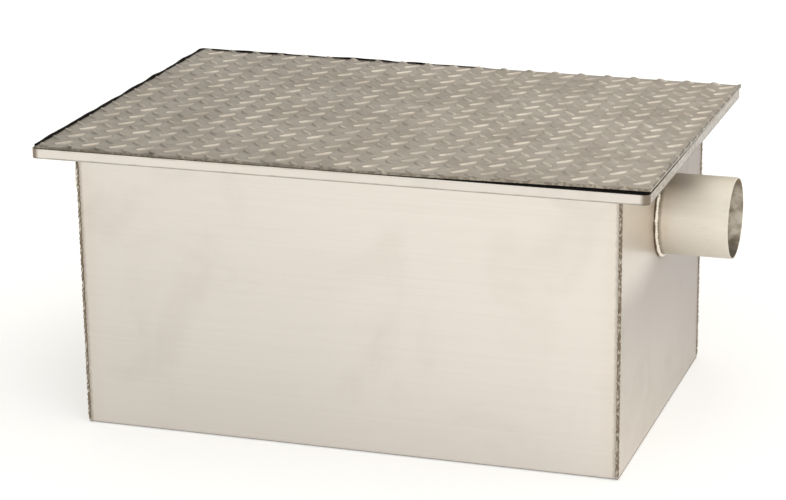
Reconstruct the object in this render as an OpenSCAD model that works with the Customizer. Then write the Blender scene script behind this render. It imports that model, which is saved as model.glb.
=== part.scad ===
// Grease trap: a folded steel tank with a loose tread-plate lid.
// X runs along the flow from the inlet to the outlet, Y from front to back and Z up.
// The origin is the centre of the tank's underside.

/* [Tank] */
// Length of the tank along the flow, outside
tank_length = 750; // [600:10:1200]
// Depth of the tank from front to back, outside
tank_depth = 500; // [400:10:900]
// Height from the ground to the top of the rim
tank_height = 400; // [320:10:700]
// Thickness of the tank's sheet
sheet = 2; // [1:0.5:4]
// Inside radius of the folds
fold_radius = 3; // [1:0.5:6]
// Radius of the weld bead on each upright corner
corner_bead = 3; // [2.5:0.5:6]

/* [Rim] */
// How far the rim stands out from the walls
rim_width = 45; // [25:1:60]
// Height of the strip round the rim
edge_height = 13; // [8:1:30]
// Thickness of the strip round the rim
edge_thickness = 3; // [2:0.5:5]
// Outside radius of the rim's corners
rim_corner = 9; // [6:1:20]

/* [Lid] */
// Thickness of the lid's plate below its bars
lid_thickness = 3; // [2:0.5:8]
// How far the lid's edges stay inside the rim's, when centred
lid_margin = 2.5; // [0:0.5:10]
// Slack of the lid on its cleats: it lies pushed this far towards the outlet
lid_play = 4; // [1:0.5:12]
// Thickness of the rubber seal
seal_thickness = 3; // [2:0.5:8]
// Width of the rubber seal
seal_width = 38; // [15:1:40]
// How far the seal stays inside the rim's edge
seal_inset = 1; // [0:0.5:5]
// Length of each cleat under the lid
cleat_length = 120; // [50:5:250]
// How far each cleat hangs below the lid
cleat_drop = 18; // [8:1:25]
// Thickness of each cleat
cleat_thickness = 3; // [2:0.5:6]

/* [Tread] */
// Distance between like bars along the lid
tread_pitch_x = 39.4; // [30:0.2:60]
// Distance between like bars across the lid
tread_pitch_y = 38.4; // [30:0.2:60]
// First rising bar's distance from the lid's inlet edge
tread_start_x = 30; // [0:0.5:40]
// First rising bar's distance from the lid's back edge
tread_start_y = 22; // [0:0.5:40]
// Length of a bar at its foot
bar_length = 29; // [15:0.5:35]
// Width of a bar at its foot
bar_width = 9; // [4:0.5:12]
// Width of a bar's flat crest
crest_width = 3; // [1:0.5:4]
// Height of a bar
bar_height = 2; // [0.5:0.1:3]

/* [Pipe stubs] */
// Outside diameter of the inlet and outlet tubes
pipe_diameter = 110; // [75:1:125]
// Wall of the tubes
pipe_wall = 2; // [1:0.5:5]
// How far the tubes stand out from the end walls
stub_reach = 98; // [40:1:200]
// How far the tubes reach into the tank
stub_inset = 12; // [4:1:40]
// Depth of the tubes' axis below the top of the rim
stub_drop = 108; // [100:1:130]
// Gap between a tube and its hole
stub_gap = 0.2; // [0.1:0.1:1]
// Leg of the weld bead round each tube
stub_bead = 5; // [2:0.5:10]

/* [Baffles] */
// Clear length of the chamber before the inlet baffle
inlet_chamber = 195; // [140:5:260]
// Clear length of the chamber after the outlet baffle
outlet_chamber = 145; // [80:5:200]
// Thickness of the baffle plates
baffle_sheet = 2; // [1:0.5:4]
// Height of the water's way under the baffles
baffle_gap = 85; // [40:5:120]
// Air gap between the baffles and the top of the rim
vent_gap = 30; // [26:1:60]
// Width of each baffle's folded grip
grip_width = 20; // [10:1:40]
// Gap between a baffle and its guides
slide_gap = 1; // [0.5:0.25:2]
// Depth of the guides
guide_depth = 15; // [8:1:30]
// How far the guides stop below the baffles' tops
guide_stop = 30; // [15:1:80]

/* [Strainer basket] */
// Thickness of the basket's sheet
basket_sheet = 1.5; // [1:0.5:3]
// Gap between the basket and what stands round it
basket_gap = 6; // [3:1:15]
// Height of the basket's floor above the tank's floor
basket_lift = 60; // [20:5:80]
// Leg of the angles that carry the basket
ledge_leg = 20; // [15:1:40]
// Width of the basket's slots
slot_width = 8; // [4:1:14]
// Distance between the slots
slot_pitch = 30; // [20:1:50]
// Plain margin round the slots
slot_margin = 22; // [12:1:30]
// Width of the basket's handles
handle_width = 100; // [80:5:120]
// Height of the handles above the basket
handle_rise = 55; // [40:5:70]
// Depth of the handles' legs inside the basket
handle_foot = 30; // [15:1:40]
// Width of the flat bar of the handles
handle_bar = 14; // [8:1:20]
// Thickness of the handles
handle_thickness = 3; // [2:0.5:5]

/* [Hidden] */
$fn = 64;

STEEL = "#d9d2c8";
WELD = "#b8b0a4";
TREAD = "#b3aa9e";
RUBBER = "#1c1a18";

// Half sizes of the tank, outside and inside, and of the rim
end_x = tank_length / 2;
side_y = tank_depth / 2;
inner_x = end_x - sheet;
inner_y = side_y - sheet;
rim_x = end_x + rim_width;
rim_y = side_y + rim_width;
fold_outer = fold_radius + sheet;

// The pipe stubs' axis and size
pipe_radius = pipe_diameter / 2;
stub_z = tank_height - stub_drop;
stub_length = stub_inset + sheet + stub_reach;

// The lid on its seal
lid_bottom = tank_height + seal_thickness;
lid_size = [2 * (rim_x - lid_margin), 2 * (rim_y - lid_margin)];
tread_root = lid_thickness / 2;

// The baffles and their guides
inlet_baffle_x = -inner_x + inlet_chamber;
outlet_baffle_x = inner_x - outlet_chamber;
baffle_bottom = sheet + baffle_gap;
baffle_top = tank_height - vent_gap;
baffle_half = inner_y - sheet - slide_gap;
guide_slot = baffle_sheet + 2 * slide_gap;
guide_width = guide_slot + 2 * sheet;

// The strainer basket: clear of the inlet's end plate, its baffle guides and its pipe
basket_start = -inner_x + basket_gap;
basket_end = inlet_baffle_x - guide_width / 2 - basket_gap;
basket_length = basket_end - basket_start;
basket_x = (basket_start + basket_end) / 2;
basket_half = inner_y - ledge_leg - basket_gap;
basket_top = stub_z - pipe_radius - basket_gap;
basket_bottom = sheet + basket_lift;
basket_height = basket_top - basket_bottom;
ledge_top = basket_top - basket_sheet;

// More than any cut has to pass through
beyond = 2 * (tank_length + tank_depth + tank_height);

// Shared shapes

// A flat section in Y and Z, drawn out along X
module along_x(length) {
    rotate([90, 0, 90]) linear_extrude(length, center = true) children();
}

// A flat section in X and Z, drawn out along Y
module along_y(length) {
    rotate([90, 0, 0]) linear_extrude(length, center = true) children();
}

// A folded corner: a quarter of a ring between +X and +Y
module quarter_ring(inner, outer) {
    intersection() {
        difference() {
            circle(outer);
            circle(inner);
        }
        square(outer);
    }
}

// A flat rectangle with round corners, centred
module round_rectangle(size, radius) {
    square([size.x, size.y - 2 * radius], center = true);
    square([size.x - 2 * radius, size.y], center = true);
    for (x = [-1, 1], y = [-1, 1])
        translate([x * (size.x / 2 - radius), y * (size.y / 2 - radius)]) circle(radius);
}

// A flat arch with round shoulders, standing on the X axis
module arch(width, height, radius) {
    translate([-width / 2, 0]) square([width, height - radius]);
    translate([radius - width / 2, 0]) square([width - 2 * radius, height]);
    for (side = [-1, 1])
        translate([side * (width / 2 - radius), height - radius]) circle(radius);
}

// Tank

// Floor and walls of the wrapper up to the rim's fold, in Y and Z
module trough_section() {
    translate([fold_outer - side_y, 0]) square([tank_depth - 2 * fold_outer, sheet]);
    for (side = [0, 1]) mirror([side, 0]) {
        translate([side_y - fold_outer, fold_outer])
            rotate(-90) quarter_ring(fold_radius, fold_outer);
        translate([inner_y, fold_outer]) square([sheet, tank_height - 2 * fold_outer]);
    }
}

// One side of the rim, folded out from a wall that runs along X at a distance in Y, mitred at both ends
module rim_side(half_run, distance) {
    inner = [half_run - sheet, distance - sheet];
    outer = [half_run + rim_width, distance + rim_width];
    strip = [edge_thickness, edge_thickness];
    intersection() {
        union() {
            along_x(2 * outer.x)
                translate([distance + fold_radius, tank_height - fold_outer])
                    rotate(90) quarter_ring(fold_radius, fold_outer);
            translate([0, 0, tank_height - sheet]) linear_extrude(sheet) difference() {
                round_rectangle(2 * (outer - strip), rim_corner - edge_thickness);
                translate([-outer.x, -outer.y])
                    square([2 * outer.x, outer.y + distance + fold_radius]);
            }
        }
        translate([0, 0, tank_height - fold_outer]) linear_extrude(fold_outer)
            polygon([[-inner.x, inner.y], inner, outer, [-outer.x, outer.y]]);
    }
}

module tank_wrapper() {
    color(STEEL) {
        along_x(2 * inner_x) trough_section();
        for (side = [0, 1]) mirror([0, side, 0]) rim_side(end_x, side_y);
    }
}

// End wall across the wrapper's end, with its side of the rim and the hole for a pipe, at +X
module end_plate() {
    difference() {
        translate([end_x - sheet / 2, 0, 0]) along_x(sheet) {
            translate([-side_y, fold_outer]) square([tank_depth, tank_height - 2 * fold_outer]);
            translate([fold_outer - side_y, 0]) square([tank_depth - 2 * fold_outer, 2 * fold_outer]);
            for (side = [-1, 1])
                translate([side * (side_y - fold_outer), fold_outer]) circle(fold_outer);
        }
        translate([0, 0, stub_z]) rotate([0, 90, 0]) cylinder(h = beyond, r = pipe_radius + stub_gap);
    }
    rotate(-90) rim_side(side_y, end_x);
}

module inlet_end_plate() {
    color(STEEL) mirror([1, 0, 0]) end_plate();
}

module outlet_end_plate() {
    color(STEEL) end_plate();
}

module rim_edge() {
    outer = 2 * [rim_x, rim_y];
    strip = 2 * [edge_thickness, edge_thickness];
    color(STEEL) translate([0, 0, tank_height - edge_height]) linear_extrude(edge_height) difference() {
        round_rectangle(outer, rim_corner);
        round_rectangle(outer - strip, rim_corner - edge_thickness);
    }
}

// Four upright beads, each wrapped round the outside of a corner
module corner_welds() {
    color(WELD) for (x = [0, 1], y = [0, 1]) mirror([x, 0, 0]) mirror([0, y, 0])
        translate([end_x, side_y, fold_outer]) linear_extrude(tank_height - 2 * fold_outer) difference() {
            translate([-sheet / 2, -sheet / 2]) circle(corner_bead);
            translate([-2 * corner_bead - sheet, -2 * corner_bead - sheet])
                square(2 * corner_bead + sheet);
        }
}

// Pipe stubs

// A plain tube through the end wall, at +X
module stub() {
    translate([inner_x - stub_inset, 0, stub_z]) rotate([0, 90, 0])
        linear_extrude(stub_length) difference() {
            circle(pipe_radius);
            circle(pipe_radius - pipe_wall);
        }
}

// The bead between a tube and the outside of its wall, at +X
module stub_weld() {
    translate([end_x, 0, stub_z]) rotate([0, 90, 0]) rotate_extrude()
        translate([pipe_radius, 0]) intersection() {
            circle(stub_bead);
            square(stub_bead);
        }
}

module inlet_stub() {
    color(STEEL) mirror([1, 0, 0]) stub();
}

module outlet_stub() {
    color(STEEL) stub();
}

module inlet_stub_weld() {
    color(WELD) mirror([1, 0, 0]) stub_weld();
}

module outlet_stub_weld() {
    color(WELD) stub_weld();
}

// Baffles

// A hanging plate with its top edge folded over towards +X as a grip
module baffle() {
    fold = fold_radius + baffle_sheet;
    grip_x = fold_radius + baffle_sheet / 2;
    along_y(2 * baffle_half) {
        translate([-baffle_sheet / 2, baffle_bottom])
            square([baffle_sheet, baffle_top - fold - baffle_bottom]);
        translate([grip_x, baffle_top - fold]) rotate(90) quarter_ring(fold_radius, fold);
        translate([grip_x, baffle_top - baffle_sheet]) square([grip_width, baffle_sheet]);
    }
}

// A channel on the inside of the front wall, with a foot that the baffle stands on
module guide() {
    foot = baffle_bottom - sheet;
    height = baffle_top - guide_stop - foot;
    difference() {
        translate([-guide_width / 2, -inner_y, foot]) cube([guide_width, guide_depth, height]);
        translate([-guide_slot / 2, sheet - inner_y, baffle_bottom])
            cube([guide_slot, guide_depth, height]);
    }
}

module inlet_baffle() {
    color(STEEL) translate([inlet_baffle_x, 0, 0]) baffle();
}

module outlet_baffle() {
    color(STEEL) translate([outlet_baffle_x, 0, 0]) mirror([1, 0, 0]) baffle();
}

module inlet_guide_front() {
    color(STEEL) translate([inlet_baffle_x, 0, 0]) guide();
}

module inlet_guide_back() {
    color(STEEL) translate([inlet_baffle_x, 0, 0]) mirror([0, 1, 0]) guide();
}

module outlet_guide_front() {
    color(STEEL) translate([outlet_baffle_x, 0, 0]) guide();
}

module outlet_guide_back() {
    color(STEEL) translate([outlet_baffle_x, 0, 0]) mirror([0, 1, 0]) guide();
}

// Strainer basket

// A folded angle on the inside of the back wall
module ledge() {
    translate([basket_x, 0, 0]) along_x(basket_length) {
        translate([inner_y - sheet, ledge_top - ledge_leg]) square([sheet, ledge_leg - fold_outer]);
        translate([inner_y - fold_outer, ledge_top - fold_outer]) quarter_ring(fold_radius, fold_outer);
        translate([inner_y - ledge_leg, ledge_top - sheet]) square([ledge_leg - fold_outer, sheet]);
    }
}

// Places along a run, as many as fit, spread evenly about its middle
function spread(run, pitch) =
    let (count = floor(run / pitch))
    [for (i = [0:count]) (i - count / 2) * pitch];

// Upright slots through two facing walls of the basket, cut along X
module wall_slots(run) {
    slot_height = basket_height - 2 * slot_margin;
    for (y = spread(run, slot_pitch))
        translate([0, y, basket_bottom + basket_height / 2])
            cube([beyond, slot_width, slot_height], center = true);
}

// Slots through the basket's floor in three rows
module floor_slots(run_x, run_y) {
    row = run_y / 3;
    for (x = spread(run_x, slot_pitch), y = [-row, 0, row])
        translate([x, y, basket_bottom])
            cube([slot_width, row - slot_margin, basket_height], center = true);
}

// An open basket of folded sheet, hung by the lips at its front and back
module strainer_basket() {
    run_x = basket_length - 2 * slot_margin;
    run_y = 2 * (basket_half - slot_margin);
    walls = [basket_sheet, basket_sheet, 0];
    size = [basket_length, 2 * basket_half, basket_height];
    color(STEEL) translate([basket_x, 0, 0]) {
        difference() {
            translate([-size.x / 2, -size.y / 2, basket_bottom]) cube(size);
            translate([-size.x / 2, -size.y / 2, basket_bottom] + walls + [0, 0, basket_sheet])
                cube(size - 2 * walls);
            wall_slots(run_y);
            rotate(90) wall_slots(run_x);
            floor_slots(run_x, run_y);
        }
        for (side = [0, 1]) mirror([0, side, 0])
            translate([-size.x / 2, basket_half - basket_sheet, ledge_top])
                cube([size.x, ledge_leg + basket_sheet, basket_sheet]);
    }
}

// A flat arched grip on the inside of the basket's back wall
module strainer_handle() {
    height = handle_foot + handle_rise;
    window = [handle_width - 2 * handle_bar, height - handle_bar];
    translate([basket_x, basket_half - basket_sheet - handle_thickness / 2, basket_top - handle_foot])
        along_y(handle_thickness) difference() {
            arch(handle_width, height, 1.5 * handle_bar);
            translate([0, -handle_bar]) arch(window.x, window.y + handle_bar, handle_bar / 2);
        }
}

module strainer_ledge_front() {
    color(STEEL) mirror([0, 1, 0]) ledge();
}

module strainer_ledge_back() {
    color(STEEL) ledge();
}

module strainer_handle_front() {
    color(STEEL) mirror([0, 1, 0]) strainer_handle();
}

module strainer_handle_back() {
    color(STEEL) strainer_handle();
}

// Lid

module lid_seal() {
    outer = 2 * [rim_x - seal_inset, rim_y - seal_inset];
    band = 2 * [seal_width, seal_width];
    color(RUBBER) translate([0, 0, tank_height]) linear_extrude(seal_thickness) difference() {
        round_rectangle(outer, rim_corner - seal_inset);
        square(outer - band, center = true);
    }
}

// One raised bar along X: the overlap of two crossed ridges, pointed at both ends, rooted in the plate
module tread_bar() {
    lean = atan(bar_width / bar_length);
    foot = bar_length * sin(lean) / 2;
    crest = crest_width / 2;
    intersection_for(turn = [-lean, lean]) rotate(turn) along_x(2 * bar_length)
        polygon([
            [-foot, -tread_root], [foot, -tread_root], [foot, 0],
            [crest, bar_height], [-crest, bar_height], [-foot, 0]
        ]);
}

// Like bars in rows from outside the lid's back inlet corner, each cut off where it runs past the lid's edge
module tread_bars(start, turn) {
    edge = lid_size / 2;
    whole = edge - [bar_length, bar_length] / 2;
    cut = edge + [bar_length, bar_length] / 4;
    pitch = [tread_pitch_x, tread_pitch_y];
    last = lid_size + pitch;
    for (x = [start.x - pitch.x:pitch.x:last.x], y = [start.y - pitch.y:pitch.y:last.y]) {
        place = [x, lid_size.y - y] - edge;
        beside = abs(place.x) < edge.x && abs(place.y) < cut.y;
        beyond = abs(place.x) < cut.x && abs(place.y) < edge.y;
        if (abs(place.x) < whole.x && abs(place.y) < whole.y)
            translate(place) rotate(turn) tread_bar();
        else if (beside || beyond) intersection() {
            translate(place) rotate(turn) tread_bar();
            linear_extrude(4 * (tread_root + bar_height), center = true) square(lid_size, center = true);
        }
    }
}

module lid_plate() {
    first = [tread_start_x, tread_start_y];
    half_pitch = [tread_pitch_x, tread_pitch_y] / 2;
    color(TREAD) translate([lid_play, 0, lid_bottom + lid_thickness]) {
        translate([0, 0, -lid_thickness]) linear_extrude(lid_thickness) square(lid_size, center = true);
        tread_bars(first, 45);
        tread_bars(first + half_pitch, -45);
    }
}

// Flat cleats under the lid, one inside each wall; the lid lies with the outlet's cleat against its wall
module lid_cleats() {
    across = inner_x - lid_play - cleat_thickness / 2;
    along = inner_y - lid_play - cleat_thickness / 2;
    color(STEEL) translate([lid_play, 0, lid_bottom - cleat_drop / 2]) {
        for (side = [-1, 1]) {
            translate([side * across, 0, 0])
                cube([cleat_thickness, cleat_length, cleat_drop], center = true);
            translate([0, side * along, 0])
                cube([cleat_length, cleat_thickness, cleat_drop], center = true);
        }
    }
}

tank_wrapper();
inlet_end_plate();
outlet_end_plate();
rim_edge();
corner_welds();
inlet_stub();
outlet_stub();
inlet_stub_weld();
outlet_stub_weld();
inlet_baffle();
outlet_baffle();
inlet_guide_front();
inlet_guide_back();
outlet_guide_front();
outlet_guide_back();
strainer_ledge_front();
strainer_ledge_back();
strainer_basket();
strainer_handle_front();
strainer_handle_back();
lid_seal();
lid_plate();
lid_cleats();
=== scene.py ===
"""Dresses a steel grease trap: finishes, tread-plate lid, rubber seal, weld beads and a stage."""

from math import asin, atan2, cos, exp, pi, radians, sin, tau

import bmesh
import bpy
from bpy.props import FloatProperty, FloatVectorProperty, PointerProperty
from bpy.types import Operator, Panel, PropertyGroup
from mathutils import Matrix, Vector, noise
from mathutils.geometry import delaunay_2d_cdt


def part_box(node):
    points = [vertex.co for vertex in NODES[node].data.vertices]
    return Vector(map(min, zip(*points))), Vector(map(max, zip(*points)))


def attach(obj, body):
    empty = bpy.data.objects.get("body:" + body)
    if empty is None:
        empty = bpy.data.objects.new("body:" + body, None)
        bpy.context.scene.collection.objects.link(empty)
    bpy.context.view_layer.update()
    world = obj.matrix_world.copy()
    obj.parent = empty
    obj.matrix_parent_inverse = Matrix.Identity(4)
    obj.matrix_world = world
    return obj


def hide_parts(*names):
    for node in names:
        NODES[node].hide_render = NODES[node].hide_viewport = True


bl_info = {
    "name": "Grease trap",
    "version": (1, 0, 0),
    "blender": (4, 5, 0),
    "location": "3D View > Sidebar > Grease trap",
    "description": "Finishes a steel grease trap and sets it on a studio stage",
    "category": "Object",
}

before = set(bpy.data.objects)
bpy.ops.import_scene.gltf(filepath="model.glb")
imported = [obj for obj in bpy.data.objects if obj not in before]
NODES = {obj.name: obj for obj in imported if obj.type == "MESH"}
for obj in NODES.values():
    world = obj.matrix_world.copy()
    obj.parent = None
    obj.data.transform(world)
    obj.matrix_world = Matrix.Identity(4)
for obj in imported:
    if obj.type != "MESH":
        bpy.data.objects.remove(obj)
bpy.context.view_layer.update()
BODY = "root"
MM = 1000.0

# Places taken from the frame, in metres
LID_LOW, LID_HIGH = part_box("lid_plate")
SEAL_LOW, SEAL_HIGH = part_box("lid_seal")
BEAD_LOW, BEAD_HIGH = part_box("corner_welds")
RING_LOW, RING_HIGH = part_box("outlet_stub_weld")
STUB_LOW, STUB_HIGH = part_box("outlet_stub")
RIM_LOW, RIM_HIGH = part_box("rim_edge")
WALL_X = RING_LOW.x
WALL_Y = BEAD_HIGH.y - (BEAD_HIGH.x - WALL_X)
STUB_RADIUS = (STUB_HIGH.z - STUB_LOW.z) / 2
STUB_Z = (STUB_HIGH.z + STUB_LOW.z) / 2
RING_LEG = RING_HIGH.x - RING_LOW.x
LID_CENTRE = (LID_LOW + LID_HIGH) / 2
LID_HALF = (LID_HIGH - LID_LOW) / 2

PAIRED_NODES = ("inlet_guide", "outlet_guide", "strainer_ledge", "strainer_handle")
INNER_NODES = (
    "inlet_baffle", "outlet_baffle", "strainer_basket", "lid_cleats",
    *(f"{name}_{side}" for name in PAIRED_NODES for side in ("front", "back")),
)
# Corners of the tank, in order round it
CORNERS = ((1, -1), (1, 1), (-1, 1), (-1, -1))


# Settings

def length(name, description, default):
    """A size in metres."""
    return FloatProperty(name=name, description=description, default=default, unit="LENGTH", precision=4)


def share(name, description, default):
    """A plain share from 0 to 1."""
    return FloatProperty(
        name=name, description=description, default=default, min=0.0, max=1.0, subtype="FACTOR"
    )


def angle(name, description, degrees):
    """An angle given in degrees."""
    return FloatProperty(name=name, description=description, default=radians(degrees), subtype="ANGLE")


def colour(name, description, default):
    """A linear colour."""
    return FloatVectorProperty(
        name=name, description=description, default=default, min=0.0, max=1.0, size=3, subtype="COLOR"
    )


class TrapTread(PropertyGroup):
    """Sizes of the lid and its tread"""

    pitch_x: length("Pitch along", "Pitch of like bars along the lid", 0.0394)
    pitch_y: length("Pitch across", "Pitch of like bars across the lid", 0.0384)
    start_x: length("Start along", "First rising bar from the lid's inlet edge", 0.030)
    start_y: length("Start across", "First rising bar from the lid's back edge", 0.022)
    bar_length: length("Bar length", "Length of a bar at its foot", 0.029)
    bar_width: length("Bar width", "Width of a bar at its foot", 0.009)
    bar_height: length("Bar height", "Height of a bar above the plate", 0.002)
    front_sag: length("Front sag", "How low the front edge lies at the inlet end", 0.0028)
    front_lift: length("Front lift", "How high the front edge stands at the outlet end", 0.0014)
    back_twist: length("Back twist", "How far the back corners leave a flat plate", 0.0022)


class TrapSeal(PropertyGroup):
    """Sizes of the rubber seal"""

    width: length("Width", "Width of the rubber strip", 0.038)
    edge_round: length("Edge round", "Radius of the strip's upper edges", 0.0008)
    front_inset: length("Front inset", "How far back the front strip lies", 0.003)
    waver: length("Waver", "How far the strip strays sideways", 0.0006)
    swell: length("Swell", "How far the bare strip swells above the lid's plate", 0.0022)


class TrapWelds(PropertyGroup):
    """Sizes of the weld beads"""

    corner_radius: length("Corner bead", "Radius of the upright beads", 0.003)
    ripple_pitch: length("Ripple pitch", "Distance between ripples round a stub", 0.0046)
    spot_pitch: length("Spot pitch", "Distance between spots of a corner bead", 0.0075)
    ripple_depth: length("Ripple depth", "Depth of the ripples of a bead", 0.0006)
    lump: length("Lumps", "Height of the lumps along a bead", 0.0007)
    pit: length("Pits", "Depth of the pits in a corner bead", 0.0012)


class TrapFinish(PropertyGroup):
    """Colours and gloss of the surfaces"""

    sheet_colour: colour("Sheet", "Front, back and floor", (0.750, 0.702, 0.642))
    rim_colour: colour("Rim", "Strip round the rim", (0.757, 0.708, 0.645))
    # The end walls' colour is a darker copy of the sheet colour, as painted shade.
    end_shade_colour: colour("End sheet", "The two end walls", (0.425, 0.383, 0.357))
    tread_colour: colour("Tread", "The lid", (0.755, 0.70, 0.628))
    tube_colour: colour("Tube", "The pipe stubs", (0.92, 0.865, 0.765))
    ring_colour: colour("Stub weld", "Beads round the pipe stubs", (0.86, 0.80, 0.69))
    # Corner beads: a dark weld colour that is partly a painted dark reflection along the uprights.
    corner_weld_and_painted_reflection_colour: colour("Corner weld", "Beads on the corners", (0.50, 0.45, 0.38))
    # Weld stain, also the colour of painted shade beside the beads and at the rim strip's corners.
    stain_and_shade_colour: colour("Weld stain", "Burnt edge beside a bead", (0.22, 0.175, 0.125))
    straw_colour: colour("Heat tint", "Straw tint further from a bead", (0.80, 0.70, 0.54))
    # Grime in joints and on cut edges; also the dark of the painted shadow along the tank's foot and
    # along the rim strip's bottom edge.
    grime_and_shade_colour: colour("Grime", "Grime in joints and on cut edges", (0.15, 0.13, 0.105))
    rubber_colour: colour("Rubber", "Rubber of the seal", (0.005, 0.0045, 0.004))
    sheet_roughness: share("Sheet roughness", "Roughness of the sheets", 0.30)
    end_roughness: share("End roughness", "Roughness of the end walls", 0.28)
    tread_roughness: share("Tread roughness", "Roughness of the lid", 0.28)
    tube_roughness: share("Tube roughness", "Roughness of the pipe stubs", 0.50)


class TrapStage(PropertyGroup):
    """Camera, lamp, room and floor"""

    camera_place: FloatVectorProperty(
        name="Camera", description="Place of the camera",
        default=(1.0696, -3.2266, 1.2574), subtype="TRANSLATION",
    )
    azimuth: angle("Azimuth", "Camera's turn about the upright", 18.529)
    elevation: angle("Elevation", "Camera's tilt downwards", 17.169)
    roll: angle("Roll", "Camera's turn about its own axis", -0.737)
    lens: FloatProperty(name="Lens", description="Focal length in millimetres", default=115.8, min=1.0)
    floor_colour: colour("Floor", "Plain pale floor", (0.93, 0.93, 0.925))
    floor_glow: share("Floor glow", "White added for camera and mirrored light", 0.295)
    key_strength: FloatProperty(name="Key", description="Strength of the key lamp", default=0.4, min=0.0)
    key_spread: angle("Key spread", "Width of the key lamp", 80)
    key_turn: angle("Key turn", "Turn from the front to the outlet end", 20)
    key_height: angle("Key height", "Key lamp's height above the floor", 35)
    room_front: colour("Front wall", "Room in front", (0.9, 0.9, 0.895))
    room_top: colour("Ceiling", "Room overhead", (1.0, 0.97, 0.915))
    room_back: colour("Back wall", "Room behind", (0.585, 0.556, 0.503))
    room_left: share("Left wall", "Share of the room's light at the inlet end", 0.38)


# Node helpers

# Sockets of a Mix node that mixes colours
MIX_FACTOR, MIX_FIRST, MIX_SECOND, MIX_RESULT = 0, 6, 7, 2


def feed(tree, node, inputs):
    """Sets or links inputs of a node."""
    for key, value in inputs.items():
        if isinstance(value, bpy.types.NodeSocket):
            tree.links.new(value, node.inputs[key])
        else:
            node.inputs[key].default_value = value


def put(tree, kind, inputs=None, **settings):
    """Adds a node with its options and inputs."""
    made = tree.nodes.new(kind)
    for name, value in settings.items():
        setattr(made, name, value)
    feed(tree, made, inputs or {})
    return made


def math_node(tree, operation, *values, clamp=False):
    """The result of a Math node."""
    node = put(tree, "ShaderNodeMath", dict(enumerate(values)), operation=operation, use_clamp=clamp)
    return node.outputs[0]


def scaled(tree, value, factor, added):
    """A value times a factor, plus another value."""
    return math_node(tree, "MULTIPLY_ADD", value, factor, added)


def times(tree, *values):
    """Several values multiplied."""
    product = values[0]
    for value in values[1:]:
        product = math_node(tree, "MULTIPLY", product, value)
    return product


def vector_node(tree, operation, *values):
    """The vector of a Vector Math node."""
    node = put(tree, "ShaderNodeVectorMath", dict(enumerate(values)), operation=operation)
    return node.outputs["Vector"]


def length_of(tree, vector):
    """The length of a vector."""
    return put(tree, "ShaderNodeVectorMath", {0: vector}, operation="LENGTH").outputs["Value"]


def fade(tree, value, low, high, to_low=0.0, to_high=1.0):
    """A smooth step of a value between two limits."""
    inputs = {"Value": value, "From Min": low, "From Max": high, "To Min": to_low, "To Max": to_high}
    return put(tree, "ShaderNodeMapRange", inputs, interpolation_type="SMOOTHSTEP").outputs["Result"]


def mix_colour(tree, mask, first, second, blend="MIX"):
    """Two colours mixed by a mask."""
    inputs = {MIX_FACTOR: mask, MIX_FIRST: first, MIX_SECOND: second}
    return put(tree, "ShaderNodeMix", inputs, data_type="RGBA", blend_type=blend).outputs[MIX_RESULT]


def shaded(tree, mask, base, tone):
    """A colour multiplied by a tone under a mask."""
    return mix_colour(tree, mask, base, tone, "MULTIPLY")


def opaque(rgb, level=1.0):
    """A colour setting at a level, with its alpha."""
    return (*(min(1.0, c * level) for c in rgb), 1.0)


def object_place(tree):
    """A point's place in the object's frame."""
    return put(tree, "ShaderNodeTexCoord").outputs["Object"]


def parts_of(tree, vector):
    """The three parts of a vector."""
    return put(tree, "ShaderNodeSeparateXYZ", {0: vector}).outputs


def object_parts(tree):
    """The three parts of a point's place."""
    return parts_of(tree, object_place(tree))


def cloud(tree, scale, detail=2.0, vector=None):
    """Soft noise from 0 to 1 over the object."""
    place = object_place(tree) if vector is None else vector
    inputs = {"Vector": place, "Scale": scale, "Detail": detail}
    return put(tree, "ShaderNodeTexNoise", inputs).outputs["Fac"]


def facing(tree):
    """The three parts of the surface's own direction."""
    return parts_of(tree, put(tree, "ShaderNodeNewGeometry").outputs["Normal"])


def new_group(name, inputs, result, result_kind):
    """An empty shader group, with the inner ends of its inputs and its result."""
    group = bpy.data.node_groups.new(name, "ShaderNodeTree")
    for label, kind, default in inputs:
        socket = group.interface.new_socket(label, in_out="INPUT", socket_type=kind)
        socket.default_value = default
    group.interface.new_socket(result, in_out="OUTPUT", socket_type=result_kind)
    given = group.nodes.new("NodeGroupInput").outputs
    return group, given, group.nodes.new("NodeGroupOutput").inputs[result]


def from_group(tree, name, make, inputs):
    """The result of a shader group, which is built once."""
    group = bpy.data.node_groups.get(name) or make(name)
    return put(tree, "ShaderNodeGroup", inputs, node_tree=group).outputs[0]


# Shared effects

FLOAT, VECTOR, COLOUR = "NodeSocketFloat", "NodeSocketVector", "NodeSocketColor"
# Stretch of the grain and of the scratches on rolled sheet, which run level
LEVEL_GRAIN = (4.0, 4.0, 700.0)
LEVEL_LINES = (12.0, 12.0, 900.0)


def make_rolled_grain(name):
    """Fine streaks of a rolled or drawn surface, stretched along its grain."""
    group, given, result = new_group(name, [("Stretch", VECTOR, LEVEL_GRAIN)], "Streaks", FLOAT)
    stretched = vector_node(group, "MULTIPLY", object_place(group), given["Stretch"])
    broad = times(group, cloud(group, 0.35, 2.0, stretched), 0.5)
    group.links.new(scaled(group, cloud(group, 1.6, 3.0, stretched), 0.5, broad), result)
    return group


def make_soft_marks(name):
    """Cloudy smears that handling and wiping leave on steel."""
    inputs = [("Scale", FLOAT, 7.0), ("Cover", FLOAT, 0.5)]
    group, given, result = new_group(name, inputs, "Mask", FLOAT)
    smear = put(group, "ShaderNodeTexNoise", {
        "Vector": object_place(group), "Scale": given["Scale"],
        "Detail": 5.0, "Roughness": 0.62, "Distortion": 0.7,
    })
    low = scaled(group, given["Cover"], -0.5, 0.78)
    high = math_node(group, "ADD", low, 0.22)
    group.links.new(fade(group, smear.outputs["Fac"], low, high), result)
    return group


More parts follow.
